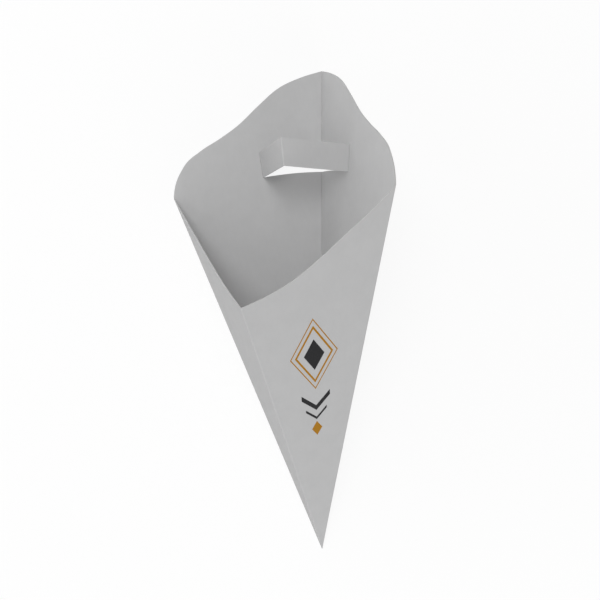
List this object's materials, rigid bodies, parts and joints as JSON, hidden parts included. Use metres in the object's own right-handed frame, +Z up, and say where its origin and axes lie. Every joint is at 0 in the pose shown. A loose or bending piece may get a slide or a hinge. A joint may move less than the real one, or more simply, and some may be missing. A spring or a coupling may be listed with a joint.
{
  "type": "paper fry cone",
  "caption": "Open square-sided paper cone for fries, folded from a sheet of card, with a high wavy back rim and a pushed-out strip that holds a sauce cup.",
  "frame": {"origin": "middle of the lying cone's box, on the surface that it lies on", "axes": "+Z up from the surface, +Y from the tip towards the mouth, +X towards the back crease"},
  "size_m": [0.0874, 0.2445, 0.0757],
  "materials": {
    "card": "matt uncoated card, pale grey white"
  },
  "bodies": {
    "root": {"fry_cone": "card"}
  },
  "joints": []
}
